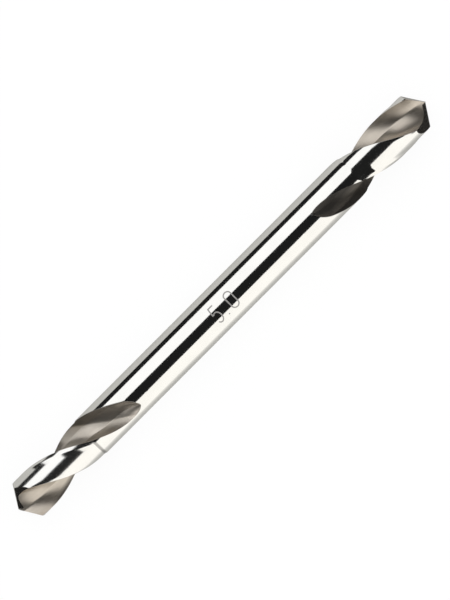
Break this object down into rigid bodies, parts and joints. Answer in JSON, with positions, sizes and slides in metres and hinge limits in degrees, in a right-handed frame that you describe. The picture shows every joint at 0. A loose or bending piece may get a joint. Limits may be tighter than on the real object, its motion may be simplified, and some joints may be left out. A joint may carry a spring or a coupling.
{
  "type": "double-ended drill bit",
  "caption": "Stubby double-ended twist drill: a short right-hand fluted end with a split point at each side of a plain round shank",
  "frame": {"origin": "the middle of the bit, on its axis", "axes": "X runs along the bit's axis, Y and Z across it, with Z towards the side that the picture shows"},
  "size_m": [0.064, 0.005, 0.005],
  "materials": {
    "bright_steel": "ground bright"
  },
  "bodies": {
    "root": {"drill_bit": "bright_steel"}
  },
  "joints": []
}
